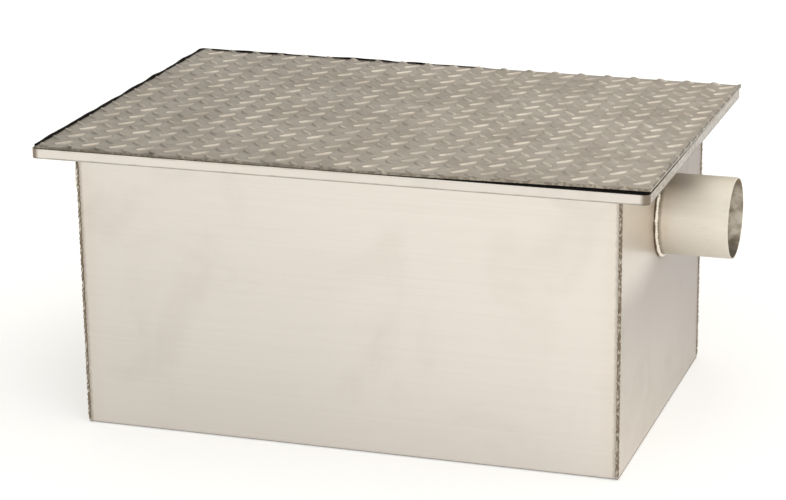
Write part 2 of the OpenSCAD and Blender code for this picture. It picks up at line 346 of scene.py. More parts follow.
def make_scratches(name):
    """Sparse thin scratches in two directions."""
    inputs = [("Along", VECTOR, LEVEL_LINES), ("Turn", VECTOR, (0.1, 0.1, 0.0))]
    group, given, result = new_group(name, inputs, "Mask", FLOAT)
    place = object_place(group)
    inputs = {"Vector": place, "Rotation": given["Turn"]}
    turned = put(group, "ShaderNodeVectorRotate", inputs, rotation_type="EULER_XYZ")
    masks = []
    for vector in (place, turned.outputs["Vector"]):
        lines = cloud(group, 1.0, 1.0, vector_node(group, "MULTIPLY", vector, given["Along"]))
        patches = cloud(group, 9.0, 1.0, vector)
        masks.append(times(group, fade(group, lines, 0.66, 0.74), fade(group, patches, 0.5, 0.62)))
    group.links.new(math_node(group, "MAXIMUM", *masks), result)
    return group


def make_weld_heat(name):
    """Burnt edge and straw tint by the distance from a weld, also used as painted shade beside the beads.
    """
    inputs = [
        ("Distance", FLOAT, 1.0), ("Reach", FLOAT, 0.02), ("Tint", FLOAT, 0.5), ("Burn", FLOAT, 0.8),
        ("Steel", COLOUR, (1, 1, 1, 1)), ("Stain", COLOUR, (0, 0, 0, 1)), ("Straw", COLOUR, (1, 1, 0, 1)),
    ]
    group, given, result = new_group(name, inputs, "Colour", COLOUR)
    spread = scaled(group, cloud(group, 120.0, 3.0), 1.2, 0.4)
    share_out = math_node(group, "DIVIDE", given["Distance"], given["Reach"])
    share_out = math_node(group, "DIVIDE", share_out, spread)
    straw_mask = times(group, fade(group, share_out, 0.25, 1.0, 1.0, 0.0), given["Tint"])
    stain_mask = times(group, fade(group, share_out, 0.06, 0.22, 1.0, 0.0), given["Burn"])
    tinted = shaded(group, straw_mask, given["Steel"], given["Straw"])
    group.links.new(mix_colour(group, stain_mask, tinted, given["Stain"]), result)
    return group


def marks_of(tree, scale, cover):
    """Mask of the shared smears."""
    return from_group(tree, "Soft marks", make_soft_marks, {"Scale": scale, "Cover": cover})


def heat_of(tree, finish, distance, reach, tint, burn, steel):
    """Steel colour with the shared burn beside a weld, also standing in as painted shade beside the
    beads.
    """
    inputs = {
        "Distance": distance, "Reach": reach, "Tint": tint, "Burn": burn, "Steel": steel,
        "Stain": opaque(finish.stain_and_shade_colour), "Straw": opaque(finish.straw_colour),
    }
    return from_group(tree, "Weld heat", make_weld_heat, inputs)


# Materials

def new_material(name):
    """A material with a bare Principled shader."""
    made = bpy.data.materials.new(name)
    made.use_nodes = True
    tree = made.node_tree
    tree.nodes.clear()
    shader = put(tree, "ShaderNodeBsdfPrincipled")
    put(tree, "ShaderNodeOutputMaterial", {"Surface": shader.outputs["BSDF"]})
    return made, tree, shader


# Tones that grain, smears and scratches multiply into a steel colour
GRAIN_TONE = (0.72, 0.70, 0.68, 1)
SMEAR_TONE = (0.84, 0.82, 0.80, 1)
SCRATCH_TONE = (0.55, 0.53, 0.50, 1)


def steel_surface(tree, shader, base, roughness, grain, smears, lines, height_mm=0.02):
    """Feeds a steel shader with streaked colour, uneven gloss and a fine relief.

    grain is a stretch, smears are a scale and a cover, and lines are the scratches' stretch and turn.
    """
    streaks = from_group(tree, "Rolled grain", make_rolled_grain, {"Stretch": grain})
    marks = marks_of(tree, *smears)
    inputs = {"Along": lines[0], "Turn": lines[1]}
    scratches = from_group(tree, "Scratches", make_scratches, inputs)
    streaked = shaded(tree, fade(tree, streaks, 0.3, 0.7, 0.12, 0.0), base, GRAIN_TONE)
    smeared = shaded(tree, times(tree, marks, 0.20), streaked, SMEAR_TONE)
    scored = shaded(tree, times(tree, scratches, 0.12), smeared, SCRATCH_TONE)
    gloss = scaled(tree, streaks, 0.06, scaled(tree, marks, 0.08, roughness))
    relief = scaled(tree, scratches, -0.4, streaks)
    bump = put(tree, "ShaderNodeBump", {"Height": relief, "Distance": height_mm / MM, "Strength": 0.4})
    feed(tree, shader, {
        "Base Color": scored, "Roughness": gloss, "Metallic": 1.0, "Normal": bump.outputs["Normal"],
    })
    return bump


def soft_buckle(tree, bump, scale, height_mm):
    """Large soft unevenness of thin sheet, under a finer relief."""
    inputs = {"Height": cloud(tree, scale, 1.0), "Distance": height_mm / MM, "Strength": 1.0}
    feed(tree, bump, {"Normal": put(tree, "ShaderNodeBump", inputs).outputs["Normal"]})


def seam_distance(tree):
    """Distance from the nearest corner bead, outside the tank."""
    outside = vector_node(tree, "ABSOLUTE", object_place(tree))
    inward = vector_node(tree, "SUBTRACT", (WALL_X, WALL_Y, 0.0), outside)
    to_corner = length_of(tree, vector_node(tree, "MULTIPLY", inward, (1.0, 1.0, 0.0)))
    return math_node(tree, "SUBTRACT", to_corner, BEAD_HIGH.x - WALL_X)


def axis_distance(tree):
    """Distance from the axis of the pipe stubs."""
    from_axis = vector_node(tree, "SUBTRACT", object_place(tree), (0.0, 0.0, STUB_Z))
    return length_of(tree, vector_node(tree, "MULTIPLY", from_axis, (0.0, 1.0, 1.0)))


def foot_shadow_line(tree, finish, steel):
    """Steel with a painted shadow: a dark line along its lowest edge, where the tank meets the floor."""
    painted_foot_shadow = fade(tree, object_parts(tree)["Z"], 0.0006, 0.0032, 0.75, 0.0)
    return mix_colour(tree, painted_foot_shadow, steel, opaque(finish.grime_and_shade_colour))


def sheet_steel(finish):
    """Satin sheet of front, back and floor, with painted shade and light: darker toward the bottom and
    the inlet end, lighter toward the top and the outlet end; weld stain beside the corner beads that is
    partly painted shade, and a painted shadow line along its lowest fold.
    """
    made, tree, shader = new_material("Sheet steel")
    place = object_parts(tree)
    # Painted shade and light: the sheet's colour darkens toward the bottom and the inlet end and lightens
    # toward the top and the outlet end.
    painted_shade_drift = scaled(tree, place["Z"], 2.0, times(tree, place["X"], 0.85))
    painted_shade_drift = scaled(tree, cloud(tree, 3.0), 0.35, painted_shade_drift)
    dark, pale = opaque(finish.sheet_colour, 0.87), opaque(finish.sheet_colour, 1.06)
    tone = mix_colour(tree, fade(tree, painted_shade_drift, 0.0, 1.1), dark, pale)
    # Weld stain beside the corner beads, partly painted shade along the folded corners.
    seam_burn_and_shade = heat_of(tree, finish, seam_distance(tree), 0.030, 0.10, 0.45, tone)
    with_foot_shadow = foot_shadow_line(tree, finish, seam_burn_and_shade)
    lines = (LEVEL_LINES, (0.0, 0.12, 0.0))
    bump = steel_surface(tree, shader, with_foot_shadow, finish.sheet_roughness, LEVEL_GRAIN, (6.0, 0.55), lines)
    soft_buckle(tree, bump, 3.5, 0.9)
    return made


def end_steel(finish):
    """Smoother sheet of the end walls: a darker copy of the sheet colour as painted shade, painted light
    low down and toward the front, a painted reflection as a lighter patch from the stub's foot upward on
    the front half, and weld stain round the stub that is partly painted shade.
    """
    made, tree, shader = new_material("End steel")
    place = object_parts(tree)
    # Painted shade and light: a darker copy of the sheet colour, lightening to the sheet colour low down
    # and toward the front.
    painted_light_low = scaled(tree, place["Z"], -2.4, 0.62)
    painted_light_low = scaled(tree, place["Y"], -0.9, painted_light_low)
    painted_light_low = scaled(tree, cloud(tree, 4.0), 0.25, painted_light_low)
    dark, pale = opaque(finish.end_shade_colour, 0.88), opaque(finish.sheet_colour, 1.02)
    dull = mix_colour(tree, fade(tree, painted_light_low, 0.0, 1.1), dark, pale)
    # Painted reflection: a lighter patch in the sheet colour, from the stub's foot upward on the front
    # half of the wall.
    height = scaled(tree, cloud(tree, 9.0, 3.0), 0.05, place["Z"])
    above = fade(tree, height, STUB_LOW.z - 0.005, STUB_LOW.z + 0.065)
    painted_light = times(tree, above, fade(tree, place["Y"], -0.1, 0.0, 0.95, 0.0))
    tone = mix_colour(tree, painted_light, dull, opaque(finish.sheet_colour))
    # Weld stain beside the corner beads, partly painted shade along the folded corners.
    seam_burn_and_shade = heat_of(tree, finish, seam_distance(tree), 0.030, 0.10, 0.45, tone)
    # Weld stain round the stub's bead, partly painted shade of the bead's undercut.
    to_ring = math_node(tree, "SUBTRACT", axis_distance(tree), STUB_RADIUS + RING_LEG)
    ring_burn_and_shade = heat_of(tree, finish, to_ring, 0.026, 0.30, 0.6, seam_burn_and_shade)
    with_foot_shadow = foot_shadow_line(tree, finish, ring_burn_and_shade)
    lines = (LEVEL_LINES, (0.12, 0.0, 0.0))
    bump = steel_surface(tree, shader, with_foot_shadow, finish.end_roughness, LEVEL_GRAIN, (7.0, 0.6), lines)
    feed(tree, shader, {"Specular Tint": (0.90, 0.88, 0.86, 1)})
    soft_buckle(tree, bump, 4.0, 0.5)
    return made


def rim_steel(finish):
    """Strip round the rim: painted shade on its end faces, at its bent corners and along its bottom edge,
    brown spots on its end faces, and grime under the joint.
    """
    made, tree, shader = new_material("Rim steel")
    place = object_parts(tree)
    # Painted shade: faces turned toward either end take a darker copy of the rim colour, and brown spots.
    ends = fade(tree, math_node(tree, "ABSOLUTE", facing(tree)["X"]), 0.35, 0.85)
    tone = mix_colour(tree, ends, opaque(finish.rim_colour), opaque(finish.rim_colour, 0.68))
    mottle = times(tree, ends, fade(tree, cloud(tree, 150.0, 3.0), 0.45, 0.56), 0.5)
    spotted = mix_colour(tree, mottle, tone, opaque(finish.stain_and_shade_colour, 1.2))
    # Painted shade at the strip's bent corners, in the stain colour.
    outside = vector_node(tree, "ABSOLUTE", object_place(tree))
    inward = parts_of(tree, vector_node(tree, "SUBTRACT", (RIM_HIGH.x, RIM_HIGH.y, 0.0), outside))
    near_end = fade(tree, inward["X"], 0.006, 0.013, 0.95, 0.0)
    bent = times(tree, near_end, fade(tree, inward["Y"], 0.006, 0.013, 1.0, 0.0))
    burn_and_shade = mix_colour(tree, bent, spotted, opaque(finish.stain_and_shade_colour))
    patch = fade(tree, cloud(tree, 26.0, 4.0), 0.35, 0.65)
    closed = fade(tree, place["X"], -0.1, 0.16, 1.0, 0.25)
    joint = times(tree, fade(tree, place["Z"], RIM_HIGH.z - 0.003, RIM_HIGH.z, 0.0, 0.35), closed, patch)
    grimy = mix_colour(tree, joint, burn_and_shade, opaque(finish.grime_and_shade_colour, 1.6))
    # Painted shade: a dark ragged line along the strip's bottom edge.
    ragged = scaled(tree, cloud(tree, 60.0, 3.0), -0.002, place["Z"])
    lower_edge_shade = fade(tree, ragged, RIM_LOW.z - 0.0004, RIM_LOW.z + 0.0014, 0.62, 0.0)
    edged = mix_colour(tree, lower_edge_shade, grimy, opaque(finish.grime_and_shade_colour))
    lines = (LEVEL_LINES, (0.1, 0.1, 0.0))
    steel_surface(tree, shader, edged, finish.sheet_roughness, LEVEL_GRAIN, (14.0, 0.6), lines)
    return made


# Bright sawn end of a tube, partly a painted highlight on its rim, and the film inside it
SAWN_END_AND_HIGHLIGHT = (0.93, 0.89, 0.81, 1)
FILM_DARK = (0.38, 0.31, 0.22, 1)
FILM_PALE = (0.95, 0.88, 0.76, 1)


def tube_steel(finish):
    """Satin tube: grain along it, weld stain beside its bead that is partly painted shade, a bright sawn
    end that is partly a painted highlight, painted shade toward its underside, and filmed inside.
    """
    made, tree, shader = new_material("Tube steel")
    place = object_parts(tree)
    out = math_node(tree, "ABSOLUTE", place["X"])
    # Weld stain beside the bead, partly painted shade of the bead's undercut.
    to_bead = math_node(tree, "SUBTRACT", out, RING_HIGH.x)
    bead_burn_and_shade = heat_of(tree, finish, to_bead, 0.022, 0.25, 0.5, opaque(finish.tube_colour))
    # Bright sawn end, partly a painted highlight along the tube's rim.
    cut_end_and_highlight = fade(tree, out, STUB_HIGH.x - 0.003, STUB_HIGH.x - 0.0005, 0.0, 0.6)
    brushed = mix_colour(tree, cut_end_and_highlight, bead_burn_and_shade, SAWN_END_AND_HIGHLIGHT)
    # Painted shade: the stub darker toward its underside.
    under = fade(tree, place["Z"], STUB_LOW.z, STUB_Z, 0.5, 0.0)
    with_underside_shade = mix_colour(tree, under, brushed, opaque(finish.tube_colour, 0.7))
    inside = fade(tree, axis_distance(tree), STUB_RADIUS - 0.0016, STUB_RADIUS - 0.0006, 1.0, 0.0)
    blots = fade(tree, cloud(tree, 55.0, 4.0), 0.36, 0.66)
    film = mix_colour(tree, blots, FILM_DARK, FILM_PALE)
    dirt = fade(tree, place["Z"], STUB_LOW.z + 0.003, STUB_LOW.z + 0.026, 0.85, 0.0)
    dirty = mix_colour(tree, dirt, film, opaque(finish.grime_and_shade_colour))
    filmed = mix_colour(tree, inside, with_underside_shade, dirty)
    lines = ((20.0, 800.0, 800.0), (0.0, 0.0, 0.1))
    grain = (5.0, 420.0, 420.0)
    steel_surface(tree, shader, filmed, finish.tube_roughness, grain, (22.0, 0.6), lines, 0.03)
    feed(tree, shader, {"Metallic": scaled(tree, inside, -0.7, 1.0)})
    return made


def inner_steel(finish):
    """Mill sheet of the pieces inside, dulled by use."""
    made, tree, shader = new_material("Inner steel")
    smears = (16.0, 0.8)
    pale, dark = opaque(finish.sheet_colour, 0.92), opaque(finish.sheet_colour, 0.8)
    dull = mix_colour(tree, marks_of(tree, *smears), pale, dark)
    lines = ((15.0, 15.0, 700.0), (0.3, 0.2, 0.0))
    steel_surface(tree, shader, dull, finish.sheet_roughness + 0.08, (5.0, 5.0, 500.0), smears, lines)
    return made


# Tones that multiply the lid's steel; those of the crowns and of the ground between the bars are partly
# worn finish and partly painted highlight and shade
CROWN_DULL = (0.80, 0.80, 0.80, 1)
CROWN_WORN_AND_HIGHLIGHT = (1.16, 1.15, 1.13, 1)
BETWEEN_BARS_DULL_AND_SHADE = (0.79, 0.79, 0.79, 1)
PATCH_TONE = (0.82, 0.80, 0.78, 1)
BLOTCH_TONE = (0.78, 0.77, 0.755, 1)
BURR_PALE = (0.62, 0.60, 0.56, 1)
BURR_DARK = (0.38, 0.35, 0.31, 1)


def tread_steel(finish):
    """Rolled tread plate: brighter on the crowns and darker between the bars, partly worn finish and
    partly painted highlight and shade, and grimy along joints and edges.
    """
    made, tree, shader = new_material("Tread steel")
    crown = put(tree, "ShaderNodeAttribute", attribute_name="crown").outputs["Fac"]
    place = vector_node(tree, "SUBTRACT", object_place(tree), (LID_CENTRE.x, LID_CENTRE.y, 0.0))
    along = parts_of(tree, place)["X"]
    dark, pale = opaque(finish.tread_colour, 0.94), opaque(finish.tread_colour, 1.14)
    rolled = mix_colour(tree, fade(tree, along, -LID_HALF.x, LID_HALF.x), dark, pale)
    # Crowns brighter and the ground between them darker: worn finish with a painted highlight on the
    # crowns and painted shade between the bars.
    trodden = fade(tree, cloud(tree, 26.0, 3.0), 0.38, 0.62)
    crown_tone = mix_colour(tree, trodden, CROWN_DULL, CROWN_WORN_AND_HIGHLIGHT)
    wear_and_painted_light = mix_colour(tree, fade(tree, crown, 0.1, 0.7), BETWEEN_BARS_DULL_AND_SHADE, crown_tone)
    painted_light = shaded(tree, 1.0, rolled, wear_and_painted_light)
    clouded = shaded(tree, fade(tree, cloud(tree, 11.0, 4.0), 0.38, 0.62, 0.0, 0.55), painted_light, PATCH_TONE)
    worn = shaded(tree, fade(tree, cloud(tree, 48.0, 3.0), 0.36, 0.66, 0.0, 0.65), clouded, BLOTCH_TONE)
    from_middle = vector_node(tree, "ABSOLUTE", place)
    inward = parts_of(tree, vector_node(tree, "SUBTRACT", (LID_HALF.x, LID_HALF.y, 1.0), from_middle))
    to_edge = math_node(tree, "MINIMUM", inward["X"], inward["Y"])
    normal = facing(tree)
    ragged = scaled(tree, cloud(tree, 70.0, 3.0), -0.006, to_edge)
    border = times(
        tree, fade(tree, ragged, -0.003, 0.001, 0.7, 0.0), fade(tree, crown, 0.1, 1.0, 1.0, 0.4),
        fade(tree, normal["Z"], 0.5, 0.9),
    )
    closed = fade(tree, along, -0.05, 0.2, 1.0, 0.0)
    patchy = fade(tree, cloud(tree, 40.0, 3.0), 0.3, 0.55)
    sawn = fade(tree, normal["Z"], 0.2, 0.6, 1.0, 0.0)
    burrs = fade(tree, cloud(tree, 150.0, 2.0), 0.45, 0.56)
    burred = shaded(tree, sawn, worn, mix_colour(tree, burrs, BURR_PALE, BURR_DARK))
    front = times(tree, sawn, closed, patchy, 0.5)
    near_front = fade(tree, inward["Y"], 0.004, 0.014, 0.75, 0.0)
    blots = times(tree, near_front, closed, fade(tree, cloud(tree, 34.0), 0.5, 0.6))
    dirt = math_node(tree, "MAXIMUM", border, math_node(tree, "MAXIMUM", front, blots))
    edged = mix_colour(tree, dirt, burred, opaque(finish.grime_and_shade_colour))
    lines = ((10.0, 500.0, 10.0), (0.0, 0.0, 0.7))
    grain = (5.0, 300.0, 5.0)
    steel_surface(tree, shader, edged, finish.tread_roughness, grain, (9.0, 0.7), lines, 0.03)
    return made


def weld_steel(finish, name, steel, roughness):
    """Rough bead, stained by heat at its toes, in its pits and between its ripples; the stain is partly
    painted shade of the undercut at a stub bead's toes and partly a painted dark reflection on the corner
    beads.
    """
    made, tree, shader = new_material(name)
    burn = put(tree, "ShaderNodeAttribute", attribute_name="burn").outputs["Fac"]
    speckled = scaled(tree, cloud(tree, 210.0, 3.0), 0.5, -0.25)
    burn_and_shade = math_node(tree, "ADD", burn, speckled, clamp=True)
    stained = mix_colour(tree, fade(tree, burn_and_shade, 0.25, 0.8), opaque(steel), opaque(finish.stain_and_shade_colour))
    even = (300.0, 300.0, 300.0)
    steel_surface(tree, shader, stained, roughness, even, (60.0, 0.7), (even, (0.4, 0.4, 0.0)), 0.08)
    return made


DUST_TONE = (0.03, 0.028, 0.025, 1)


def seal_rubber(finish):
    """Matt black rubber with a dusty bloom and a fine pebbled skin."""
    made, tree, shader = new_material("Seal rubber")
    bloom = marks_of(tree, 40.0, 0.5)
    dusty = mix_colour(tree, times(tree, bloom, 0.12), opaque(finish.rubber_colour), DUST_TONE)
    pebbles = {"Height": cloud(tree, 1500.0), "Distance": 0.0001, "Strength": 0.6}
    feed(tree, shader, {
        "Base Color": dusty, "Roughness": scaled(tree, bloom, 0.1, 0.75), "Specular IOR Level": 0.12,
        "Normal": put(tree, "ShaderNodeBump", pebbles).outputs["Normal"],
    })
    return made


def dress(node_names, material):
    """Gives CAD nodes one material."""
    for name in node_names:
        mesh = NODES[name].data
        mesh.materials.clear()
        mesh.materials.append(material)


def add_object(name, data):
    """Puts a new object into the scene."""
    made = bpy.data.objects.new(name, data)
    bpy.context.scene.collection.objects.link(made)
    return made


def new_piece(name, mesh, material, replaced):
    """Makes a mesh a piece that rides on the part and stands for a CAD node."""
    mesh.materials.append(material)
    piece = add_object(name, mesh)
    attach(piece, BODY)
    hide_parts(replaced)


def mesh_from(shape, name):
    """Turns an edited shape into a mesh."""
    mesh = bpy.data.meshes.new(name)
    shape.to_mesh(mesh)
    shape.free()
    return mesh


def smooth(mesh, degrees):
    """Smooth shading, with edges sharper than an angle kept crisp."""
    mesh.shade_smooth()
    mesh.set_sharp_from_angle(angle=radians(degrees))


def store(mesh, name, values):
    """Keeps one number for each vertex, for a material to read."""
    mesh.attributes.new(name, "FLOAT", "POINT").data.foreach_set("value", values)


def ease(value, low, high):
    """A smooth step from 0 to 1 between two limits."""
    share_in = max(0.0, min(1.0, (value - low) / (high - low)))
    return share_in * share_in * (3 - 2 * share_in)


def uneven(place, scale, seed):
    """Smooth noise from -1 to 1 at a place, the same on each run."""
    return noise.noise(Vector(place) * scale + Vector((seed, 2.3 * seed, 5.1 * seed)))


# Lid

# Each ring of a bar: share of the length, share of the width, share of the height
BAR_RINGS = (
    (1.06, 1.18, 0.0), (0.98, 1.0, 0.12), (0.90, 0.7, 0.5), (0.82, 0.42, 0.84), (0.72, 0.18, 1.0),
)
SIDE_STEPS = 8
SIDE_POWER = 3.4
LIFT_FROM, LIFT_TO = 0.5, 0.98


def lid_lift(tread, x, y):
    """How far the slightly bent lid stands above its flat place."""
    along = (x - LID_LOW.x) / (LID_HIGH.x - LID_LOW.x)
    across = (y - LID_LOW.y) / (LID_HIGH.y - LID_LOW.y)
    front = -tread.front_sag + (tread.front_sag + tread.front_lift) * ease(along, LIFT_FROM, LIFT_TO)
    back = tread.back_twist * (1 - 2 * along)
    return front + (back - front) * max(0.0, min(1.0, across))


def almond(half_length, half_width):
    """A pointed oval along X, drawn round both its bowed sides."""
    points = []
    for side in (1, -1):
        for step in range(SIDE_STEPS):
            along = side * (2 * step / SIDE_STEPS - 1)
            bow = side * (1 - abs(along) ** SIDE_POWER)
            points.append(Vector((along * half_length, bow * half_width)))
    return points


def clip(points, half):
    """The part of a convex outline that lies inside a centred rectangle."""
    for axis, limit in ((0, half.x), (1, half.y)):
        for side in (1, -1):
            kept = []
            for here, there in zip(points, points[1:] + points[:1]):
                inside_here = side * here[axis] <= limit
                if inside_here:
                    kept.append(here)
                if inside_here != (side * there[axis] <= limit):
                    along = (side * limit - here[axis]) / (there[axis] - here[axis])
                    crossing = here.lerp(there, along)
                    crossing[axis] = side * limit
                    kept.append(crossing)
            points = kept
    return points


def tread_bars(tread):
    """Centre in millimetres from the lid's and turn of each bar, with those that the edges cut off."""
    first = Vector((tread.start_x, tread.start_y)) * MM
    pitch = Vector((tread.pitch_x, tread.pitch_y)) * MM
    size = 2 * MM * LID_HALF
    cut = tread.bar_length * MM / 4
    for start, turn in ((first, radians(45)), (first + pitch / 2, radians(-45))):
        for column in range(-1, int(size.x / pitch.x) + 2):
            for row in range(-1, int(size.y / pitch.y) + 2):
                at = start + Vector((column * pitch.x, row * pitch.y))
                past_x = max(-at.x, at.x - size.x)
                past_y = max(-at.y, at.y - size.y)
                if max(past_x, past_y) < cut and min(past_x, past_y) < 0:
                    yield Vector((at.x - size.x / 2, size.y / 2 - at.y)), turn


def lid_surface(tread):
    """Top of the lid as triangles: flat points, and the share of a crown's height at each."""
    half = Vector((LID_HALF.x, LID_HALF.y)) * MM
    points = [Vector((x * half.x, y * half.y)) for x, y in ((-1, -1), (1, -1), (1, 1), (-1, 1))]
    crowns = [0.0] * 4
    edges = [(0, 1), (1, 2), (2, 3), (3, 0)]
    outlines = [
        (almond(tread.bar_length * MM / 2 * along, tread.bar_width * MM / 2 * across), height)
        for along, across, height in BAR_RINGS
    ]
    for centre, turn in tread_bars(tread):
        turned = Matrix.Rotation(turn, 2)
        for outline, height in outlines:
            ring = clip([turned @ p + centre for p in outline], half)
            if len(ring) < 3:
                continue
            start = len(points)
            points += ring
            crowns += [height] * len(ring)
            edges += [(start + i, start + (i + 1) % len(ring)) for i in range(len(ring))]
    flat, _, faces, origins, _, _ = delaunay_2d_cdt(points, edges, [], 0, 1e-4)
    return flat, faces, [max((crowns[i] for i in found), default=0.0) for found in origins]


def lid_mesh(tread):
    """The lid: one closed plate with crowned bars, cut square at its edges and slightly bent."""
    flat, faces, heights = lid_surface(tread)
    plate_top = LID_HIGH.z - tread.bar_height
    shape = bmesh.new()
    crown = shape.verts.layers.float.new("crown")
    for point, height in zip(flat, heights):
        x, y = point / MM + LID_CENTRE.xy
        shape.verts.new((x, y, plate_top + height * tread.bar_height))[crown] = height
    shape.verts.ensure_lookup_table()
    for face in faces:
        shape.faces.new([shape.verts[i] for i in face])
    rim = [e for e in shape.edges if e.is_boundary]
    walls = bmesh.ops.extrude_edge_only(shape, edges=rim)["geom"]
    for vert in (g for g in walls if isinstance(g, bmesh.types.BMVert)):
        vert.co.z = LID_LOW.z
        vert[crown] = 0.0
    foot = [g for g in walls if isinstance(g, bmesh.types.BMEdge) and g.is_boundary]
    bmesh.ops.triangle_fill(shape, edges=foot, use_beauty=True)
    for vert in shape.verts:
        vert.co.z += lid_lift(tread, vert.co.x, vert.co.y)
    bmesh.ops.recalc_face_normals(shape, faces=shape.faces)
    if any(not e.is_manifold for e in shape.edges):
        raise RuntimeError("the lid's plate isn't closed")
    mesh = mesh_from(shape, "tread_lid")
    smooth(mesh, 40)
    return mesh


# Sweeps

SAME_POINT = 1e-6


def loft(name, rings, closed_path, joined=False):
    """A closed mesh through rings of equal length. Open paths are capped, like points joined if asked."""
    shape = bmesh.new()
    rows = [[shape.verts.new(p) for p in ring] for ring in rings]
    count = len(rows[0])
    pairs = list(zip(rows, rows[1:]))
    if closed_path:
        pairs.append((rows[-1], rows[0]))
    for near, far in pairs:
        for i in range(count):
            j = (i + 1) % count
            shape.faces.new((near[i], near[j], far[j], far[i]))
    if not closed_path:
        shape.faces.new(reversed(rows[0]))
        shape.faces.new(rows[-1])
    if joined:
        bmesh.ops.remove_doubles(shape, verts=shape.verts, dist=SAME_POINT)
    bmesh.ops.recalc_face_normals(shape, faces=shape.faces)
    return mesh_from(shape, name)


# Seal

SEAL_STEP = 0.006
SEAL_CORNER = 0.008
CORNER_STEPS = 6
LID_CLEAR = 0.0004
SEAL_LEAST = 0.0002
# The bare seal swells at the inlet end, and lies below the plate's top at the outlet end
PROUD_FROM_TO = (-0.05, 0.2)
SUNK = 0.0015
# Waves per metre of the noise along the seal
STRAY_SCALE, SWELL_SCALE = 22.0, 26.0


def seal_path(half, radius):
    """Points round a rounded rectangle, evenly along its sides."""
    points = []
    for quarter, (sx, sy) in enumerate(CORNERS):
        centre = Vector((sx * (half.x - radius), sy * (half.y - radius)))
        for step in range(CORNER_STEPS + 1):
            turn = (quarter - 1 + step / CORNER_STEPS) * pi / 2
            points.append(centre + radius * Vector((cos(turn), sin(turn))))
    dense = []
    for here, there in zip(points, points[1:] + points[:1]):
        steps = max(1, round((there - here).length / SEAL_STEP))
        dense += [here.lerp(there, i / steps) for i in range(steps)]
    return dense


def beyond_lid(point):
    """How far a point lies outside the lid, below 0 inside it."""
    return max(abs(point.x - LID_CENTRE.x) - LID_HALF.x, abs(point.y - LID_CENTRE.y) - LID_HALF.y)


def squeezed(tread, point):
    """Height of the seal's top under the lid at a point."""
    lid_bottom = LID_LOW.z + lid_lift(tread, point.x, point.y)
    return max(SEAL_LOW.z + SEAL_LEAST, min(SEAL_HIGH.z, lid_bottom))


def seal_section(seal, tread, outer, inner):
    """One cross-section of the seal: squeezed under the lid, swollen where the lid leaves it bare."""
    across = (inner - outer).normalized()
    start = outer + across * seal.waver * (1 + uneven((outer.x, outer.y, 0.0), STRAY_SCALE, 3.0))
    if outer.y < seal.width - SEAL_HIGH.y:
        start.y += seal.front_inset
    under = squeezed(tread, start)
    bare = beyond_lid(start) - LID_CLEAR
    top, shoulder, reach = under, under, seal.edge_round
    if bare > 0:
        wave = 0.6 + 0.8 * uneven((start.x, start.y, 0.0), SWELL_SCALE, 9.0)
        proud = (1 - ease(start.x, *PROUD_FROM_TO)) * (seal.swell * wave + SUNK) - SUNK
        top = LID_HIGH.z - tread.bar_height + lid_lift(tread, start.x, start.y) + proud
        reach = bare / max(abs(across.x), abs(across.y))
    bevel = min(seal.edge_round, (top - SEAL_LOW.z) / 2, reach / 2)
    if bare > 0:
        shoulder = top - bevel * 0.4
    profile = [
        (start, SEAL_LOW.z), (start, top - bevel), (start + across * bevel * 0.3, top - bevel * 0.3),
        (start + across * bevel, top), (start + across * (reach - bevel * 0.6), top),
        (start + across * reach, shoulder), (start + across * (reach + LID_CLEAR / 4), under),
        (start.lerp(inner, 0.6), under), (inner, squeezed(tread, inner)), (inner, SEAL_LOW.z),
    ]
    return [Vector((place.x, place.y, z)) for place, z in profile]


def seal_mesh(seal, tread):
    """A hand-laid frame of soft rubber between rim and lid."""
    half = Vector((SEAL_HIGH.x, SEAL_HIGH.y))
    hole = half - Vector((seal.width, seal.width))
    rings = []
    for outer in seal_path(half, SEAL_CORNER):
        inner = Vector((max(-hole.x, min(hole.x, outer.x)), max(-hole.y, min(hole.y, outer.y))))
        rings.append(seal_section(seal, tread, outer, inner))
    mesh = loft("rubber_seal", rings, True, True)
    smooth(mesh, 50)
    return mesh


# Weld beads

BEAD_STEPS = 14
RIPPLE_STEPS = 5
SPOT_STEPS = 8
BACK_BURN = 0.5
BEAD_ROOT = 0.002
# Noise along a bead, in waves per metre: sway of its ripples, lumps, pits, and lumps round a stub
SWAY_SCALE, LUMP_SCALE, PIT_SCALE, RING_LUMP_SCALE = 90.0, 190.0, 140.0, 130.0
SWAY, SPOT_BOW, RING_BOW = 0.4, 0.45, 0.5
RING_SWELL = 0.12


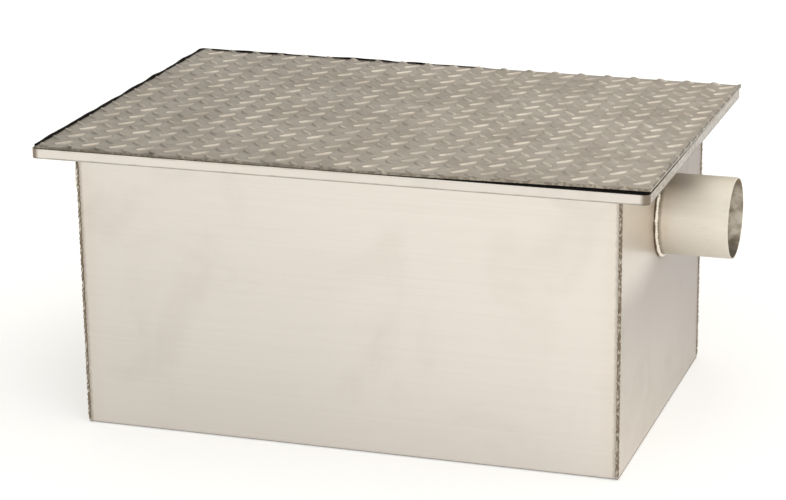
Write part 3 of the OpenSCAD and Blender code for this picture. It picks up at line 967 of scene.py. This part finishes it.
def corner_bead(welds, corner, seed):
    """Rings of an upright bead round a corner of the tank, and how dark each point is, from heat stain
    and a painted dark reflection.
    """
    radius = welds.corner_radius
    centre = Vector((corner.x * (BEAD_HIGH.x - radius), corner.y * (BEAD_HIGH.y - radius)))
    outward = atan2(corner.y, corner.x)
    sunk = WALL_X - (BEAD_HIGH.x - radius)
    spread = pi / 2 + asin(sunk / radius) / 2
    tall = BEAD_HIGH.z - BEAD_LOW.z
    count = int(tall / welds.spot_pitch) * SPOT_STEPS
    rings, burns = [], []
    for step in range(count + 1):
        z = BEAD_LOW.z + tall * step / count
        ring = []
        for i in range(BEAD_STEPS + 1):
            share_out = 2 * i / BEAD_STEPS - 1
            turn = outward + share_out * spread
            sway = SWAY * uneven((0, 0, z), SWAY_SCALE, seed)
            phase = z / welds.spot_pitch + SPOT_BOW * share_out ** 2 + sway
            ripple = 0.5 + 0.5 * cos(tau * phase)
            lump = uneven((share_out * 0.004, 0.0, z), LUMP_SCALE, seed)
            hollow = max(0.0, uneven((0.0, 0.0, z), PIT_SCALE, seed + 7.0) + 0.3)
            hollow *= exp(-(share_out / 0.4) ** 2)
            reach = radius - welds.ripple_depth * ripple + welds.lump * (lump - 0.5) - welds.pit * hollow
            at = centre + reach * Vector((cos(turn), sin(turn)))
            ring.append(Vector((at.x, at.y, z)))
            toe = max(0.0, abs(share_out) - 0.6) / 0.4
            burn_and_shade = 0.42 + 1.2 * hollow + 0.25 * ripple + 0.6 * toe - 0.8 * lump
            burns.append(max(0.0, min(1.0, burn_and_shade)))
        ring.append(Vector((corner.x * (WALL_X - BEAD_ROOT), corner.y * (WALL_Y - BEAD_ROOT), z)))
        burns.append(0.0)
        rings.append(ring)
    return rings, burns


def corner_welds_mesh(welds):
    """Four upright beads in one mesh."""
    shape = bmesh.new()
    burns = []
    for seed, corner in enumerate(CORNERS):
        rings, burn_and_shade = corner_bead(welds, Vector(corner), float(seed))
        kept = 1.0 if corner[1] < 0 else BACK_BURN
        burns += [kept * b for b in burn_and_shade]
        bead = loft("bead", rings, False)
        shape.from_mesh(bead)
        bpy.data.meshes.remove(bead)
    whole = mesh_from(shape, "corner_weld_beads")
    store(whole, "burn", burns)
    smooth(whole, 70)
    return whole


def ring_weld_mesh(name, welds, side):
    """A rippled bead round a pipe stub, against its wall."""
    middle = STUB_RADIUS + RING_LEG / 2
    around = int(tau * middle / welds.ripple_pitch) * RIPPLE_STEPS
    rings, burns = [], []
    for step in range(around):
        turn = tau * step / around
        outward = Vector((0.0, cos(turn), sin(turn)))
        ring = []
        for i in range(BEAD_STEPS + 1):
            share_out = i / BEAD_STEPS
            lean = share_out * pi / 2
            phase = turn * middle / welds.ripple_pitch + RING_BOW * (2 * share_out - 1) ** 2
            ripple = 0.5 + 0.5 * cos(tau * phase)
            at = outward * middle + Vector((side, 0, share_out * 0.005))
            lump = uneven(at, RING_LUMP_SCALE, 11.0 + side)
            swell = 1.0 + RING_SWELL * sin(2 * lean)
            reach = RING_LEG * swell - welds.ripple_depth * ripple + welds.lump * (lump - 0.3)
            x = WALL_X + reach * cos(lean)
            ring.append(Vector((side * x, 0, STUB_Z)) + outward * (STUB_RADIUS + reach * sin(lean)))
            toe = max(0.0, abs(2 * share_out - 1) - 0.2) / 0.8
            burns.append(max(0.0, min(1.0, 0.18 * ripple + toe - 0.5 * lump)))
        ring.append(Vector((side * WALL_X, 0, STUB_Z)) + outward * STUB_RADIUS)
        burns.append(0.0)
        rings.append(ring)
    mesh = loft(name, rings, True)
    store(mesh, "burn", burns)
    smooth(mesh, 70)
    return mesh


# Stage

FLOOR_SIZE = 60.0


def make_floor(stage):
    """A wide plain pale floor, white to the camera and in mirrored light, that keeps the shadow."""
    shape = bmesh.new()
    bmesh.ops.create_grid(shape, x_segments=1, y_segments=1, size=FLOOR_SIZE / 2)
    mesh = mesh_from(shape, "floor")
    made, tree, shader = new_material("Floor")
    pale, dark = opaque(stage.floor_colour), opaque(stage.floor_colour, 0.995)
    ray = put(tree, "ShaderNodeLightPath").outputs
    seen = math_node(tree, "ADD", ray["Is Camera Ray"], ray["Is Glossy Ray"])
    seen = math_node(tree, "ADD", seen, ray["Is Transmission Ray"], clamp=True)
    feed(tree, shader, {
        "Base Color": mix_colour(tree, cloud(tree, 2.0), pale, dark),
        "Roughness": 0.9, "Specular IOR Level": 0.0,
        "Emission Color": (1.0, 1.0, 0.99, 1.0), "Emission Strength": times(tree, seen, stage.floor_glow),
    })
    mesh.materials.append(made)
    floor = add_object("floor", mesh)


def make_world(stage):
    """A plain pale room, dimmer behind and at the inlet end."""
    world = bpy.data.worlds.new("Studio")
    world.use_nodes = True
    tree = world.node_tree
    tree.nodes.clear()
    way = parts_of(tree, put(tree, "ShaderNodeTexCoord").outputs["Generated"])
    front, top = opaque(stage.room_front), opaque(stage.room_top)
    upper = mix_colour(tree, fade(tree, way["Y"], -0.5, 0.0), front, top)
    room = mix_colour(tree, fade(tree, way["Y"], 0.45, 0.96), upper, opaque(stage.room_back))
    left = fade(tree, way["X"], -0.68, -0.34, stage.room_left, 1.0)
    background = put(tree, "ShaderNodeBackground", {"Color": room, "Strength": left})
    put(tree, "ShaderNodeOutputWorld", {"Surface": background.outputs["Background"]})
    bpy.context.scene.world = world


def make_key(stage):
    """A broad soft key lamp."""
    lamp = bpy.data.lights.new("Key", "SUN")
    lamp.energy = stage.key_strength
    lamp.angle = stage.key_spread
    key = add_object("Key", lamp)
    key.rotation_euler = (pi / 2 - stage.key_height, 0.0, stage.key_turn)


def make_camera(stage):
    """A camera at the place and angle of the settings."""
    lens = bpy.data.cameras.new("Camera")
    lens.lens = stage.lens
    lens.sensor_fit = "HORIZONTAL"
    camera = add_object("Camera", lens)
    turned = Matrix.Rotation(stage.azimuth, 4, "Z")
    tilted = turned @ Matrix.Rotation(pi / 2 - stage.elevation, 4, "X")
    rolled = tilted @ Matrix.Rotation(stage.roll, 4, "Z")
    camera.matrix_world = Matrix.Translation(stage.camera_place) @ rolled
    bpy.context.scene.camera = camera


# Operators

class TRAP_OT_finish_sheets(Operator):
    """Give walls and rim their satin finish"""

    bl_idname = "trap.finish_sheets"
    bl_label = "Finish sheets"

    def execute(self, context):
        finish = context.scene.trap_finish
        dress(("tank_wrapper",), sheet_steel(finish))
        dress(("inlet_end_plate", "outlet_end_plate"), end_steel(finish))
        dress(("rim_edge",), rim_steel(finish))
        return {"FINISHED"}


class TRAP_OT_finish_stubs(Operator):
    """Give the pipe stubs their satin finish"""

    bl_idname = "trap.finish_stubs"
    bl_label = "Finish stubs"

    def execute(self, context):
        dress(("inlet_stub", "outlet_stub"), tube_steel(context.scene.trap_finish))
        return {"FINISHED"}


class TRAP_OT_finish_inside(Operator):
    """Give the pieces inside their mill finish"""

    bl_idname = "trap.finish_inside"
    bl_label = "Finish inside"

    def execute(self, context):
        dress(INNER_NODES, inner_steel(context.scene.trap_finish))
        return {"FINISHED"}


class TRAP_OT_make_lid(Operator):
    """Make the tread-plate lid"""

    bl_idname = "trap.make_lid"
    bl_label = "Make lid"

    def execute(self, context):
        mesh = lid_mesh(context.scene.trap_tread)
        new_piece("tread_lid", mesh, tread_steel(context.scene.trap_finish), "lid_plate")
        return {"FINISHED"}


class TRAP_OT_make_seal(Operator):
    """Make the rubber seal"""

    bl_idname = "trap.make_seal"
    bl_label = "Make seal"

    def execute(self, context):
        mesh = seal_mesh(context.scene.trap_seal, context.scene.trap_tread)
        new_piece("rubber_seal", mesh, seal_rubber(context.scene.trap_finish), "lid_seal")
        return {"FINISHED"}


class TRAP_OT_make_welds(Operator):
    """Make the weld beads"""

    bl_idname = "trap.make_welds"
    bl_label = "Make welds"

    def execute(self, context):
        welds = context.scene.trap_welds
        finish = context.scene.trap_finish
        # The corner beads' dark colour and stain are partly a painted dark reflection along the uprights.
        dull = weld_steel(finish, "Corner weld steel", finish.corner_weld_and_painted_reflection_colour, 0.42)
        bright = weld_steel(finish, "Stub weld steel", finish.ring_colour, 0.24)
        new_piece("corner_weld_beads", corner_welds_mesh(welds), dull, "corner_welds")
        for end, side in (("outlet", 1), ("inlet", -1)):
            mesh = ring_weld_mesh(f"{end}_weld_ring", welds, side)
            new_piece(f"{end}_weld_ring", mesh, bright, f"{end}_stub_weld")
        return {"FINISHED"}


class TRAP_OT_make_stage(Operator):
    """Make the floor, room, key lamp and camera"""

    bl_idname = "trap.make_stage"
    bl_label = "Make stage"

    def execute(self, context):
        stage = context.scene.trap_stage
        context.scene.view_settings.view_transform = "Standard"
        make_floor(stage)
        make_world(stage)
        make_key(stage)
        make_camera(stage)
        return {"FINISHED"}


class TRAP_PT_sidebar(Panel):
    """Steps and settings of the grease trap"""

    bl_idname = "TRAP_PT_sidebar"
    bl_label = "Grease trap"
    bl_space_type = "VIEW_3D"
    bl_region_type = "UI"
    bl_category = "Grease trap"

    def draw(self, context):
        for step in OPERATORS:
            self.layout.operator(step.bl_idname)
        for name, group in SETTINGS.items():
            box = self.layout.box()
            box.label(text=group.__doc__)
            for setting in group.__annotations__:
                box.prop(getattr(context.scene, name), setting)


SETTINGS = {
    "trap_tread": TrapTread,
    "trap_seal": TrapSeal,
    "trap_welds": TrapWelds,
    "trap_finish": TrapFinish,
    "trap_stage": TrapStage,
}
OPERATORS = (
    TRAP_OT_finish_sheets,
    TRAP_OT_finish_stubs,
    TRAP_OT_finish_inside,
    TRAP_OT_make_lid,
    TRAP_OT_make_seal,
    TRAP_OT_make_welds,
    TRAP_OT_make_stage,
)


def register():
    """Registers the settings, steps and panel."""
    for name, group in SETTINGS.items():
        bpy.utils.register_class(group)
        setattr(bpy.types.Scene, name, PointerProperty(type=group))
    for step in (*OPERATORS, TRAP_PT_sidebar):
        bpy.utils.register_class(step)


def unregister():
    """Takes the panel, steps and settings out again."""
    for step in (TRAP_PT_sidebar, *reversed(OPERATORS)):
        bpy.utils.unregister_class(step)
    for name, group in reversed(SETTINGS.items()):
        delattr(bpy.types.Scene, name)
        bpy.utils.unregister_class(group)


def main():
    """Runs each step in order."""
    register()
    bpy.ops.trap.finish_sheets()
    bpy.ops.trap.finish_stubs()
    bpy.ops.trap.finish_inside()
    bpy.ops.trap.make_lid()
    bpy.ops.trap.make_seal()
    bpy.ops.trap.make_welds()
    bpy.ops.trap.make_stage()


if __name__ == "__main__":
    main()
